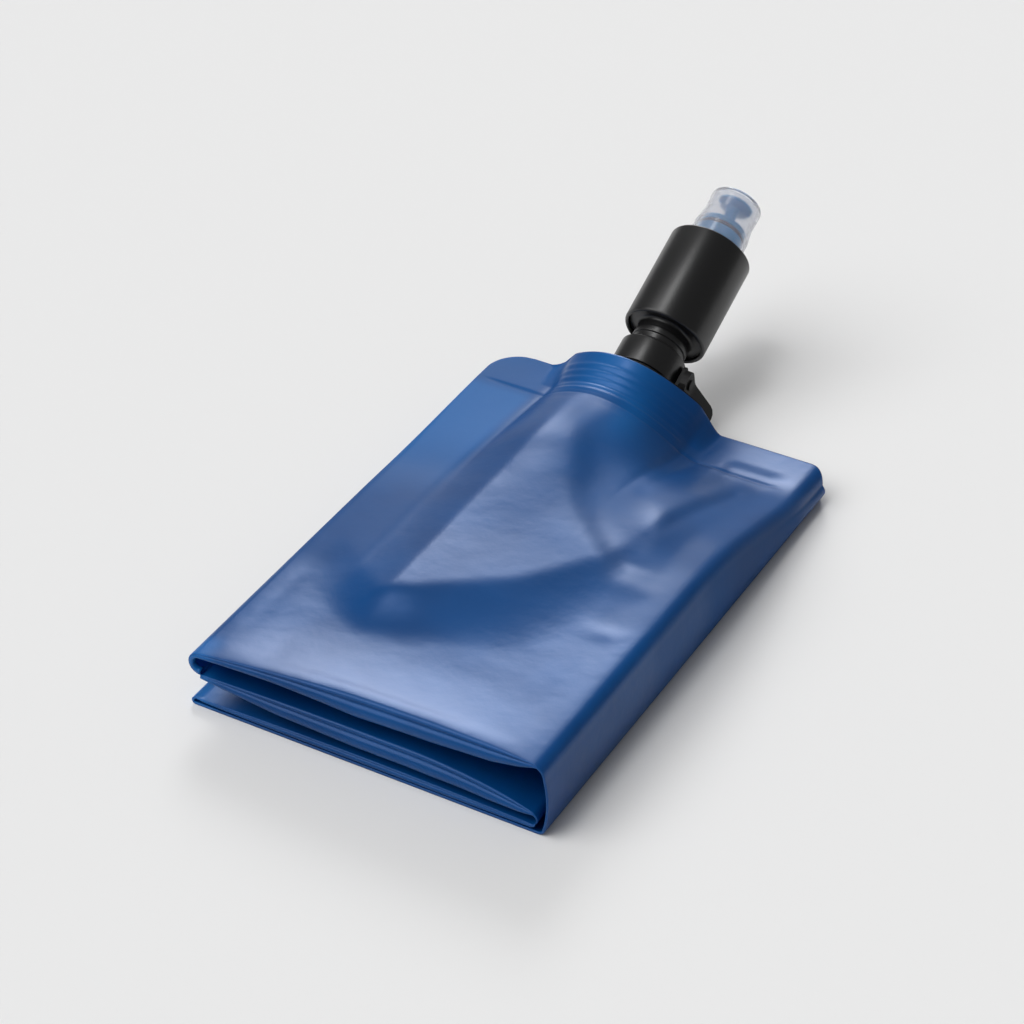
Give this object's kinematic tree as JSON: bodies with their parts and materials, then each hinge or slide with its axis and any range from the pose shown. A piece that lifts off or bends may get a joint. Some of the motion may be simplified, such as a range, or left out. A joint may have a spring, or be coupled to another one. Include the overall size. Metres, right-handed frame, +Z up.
{
  "type": "soft filter water bottle",
  "caption": "Soft blue film water bag folded in half along its length, with a black squeeze filter on its spout and a clear push-pull mouthpiece on a blue stem.",
  "frame": {"origin": "centre of the flat underside of the folded bag", "axes": "+Y along the bag towards its seam and the filter, +Z up, the bag's fold on the +X side"},
  "size_m": [0.1662, 0.3598, 0.084],
  "materials": {
    "blue_film": "satin",
    "black_moulding": "fine matt",
    "black_rubber": "matt",
    "white_moulding": "matt",
    "white_fibre": "matt",
    "potting_resin": "satin",
    "stainless_steel": "brushed",
    "blue_moulding": "satin",
    "clear_moulding": "gloss"
  },
  "bodies": {
    "bag": {"bag_outer_film": "blue_film", "bag_inner_film": "blue_film", "spout_fitment": "black_moulding", "arm_pin": "black_moulding"},
    "arm": {"hang_arm": "black_moulding"},
    "seal": {"spout_gasket": "black_rubber"},
    "filter": {"collar": "black_moulding", "snap_ring": "black_moulding", "inlet_neck": "black_moulding", "inlet_screen": "stainless_steel", "lower_cap_o_ring": "black_rubber", "housing_shell": "black_moulding", "fibre_cage": "white_moulding", "fibre_bundle": "white_fibre", "potting_disc": "potting_resin", "top_cap": "black_moulding", "top_cap_o_ring": "black_rubber", "nozzle_stem": "blue_moulding", "stem_o_ring": "black_rubber"},
    "nozzle": {"nozzle_sleeve": "clear_moulding"}
  },
  "joints": [
    {"name": "seal_lift", "type": "slide", "parent": "bag", "child": "seal", "axis": [0, 0.91, 0.4147], "range_m": [0, 0.0048]},
    {"name": "filter_turn", "type": "hinge", "parent": "seal", "child": "filter", "pos_m": [-0.0135, 0.129, 0.029], "axis": [0, 0.91, 0.4147], "range_deg": [0, 540]},
    {"name": "arm_swing", "type": "hinge", "parent": "bag", "child": "arm", "pos_m": [-0.0135, 0.13628, 0.03232], "axis": [0.9945, 0.0433, -0.0951], "range_deg": [0, 120]},
    {"name": "nozzle_pull", "type": "slide", "parent": "filter", "child": "nozzle", "axis": [0, 0.91, 0.4147], "range_m": [0, 0.005]}
  ],
  "couplings": [
    {"joint": "seal_lift", "follows": "filter_turn", "m_per_rad": 0.000506}
  ]
}
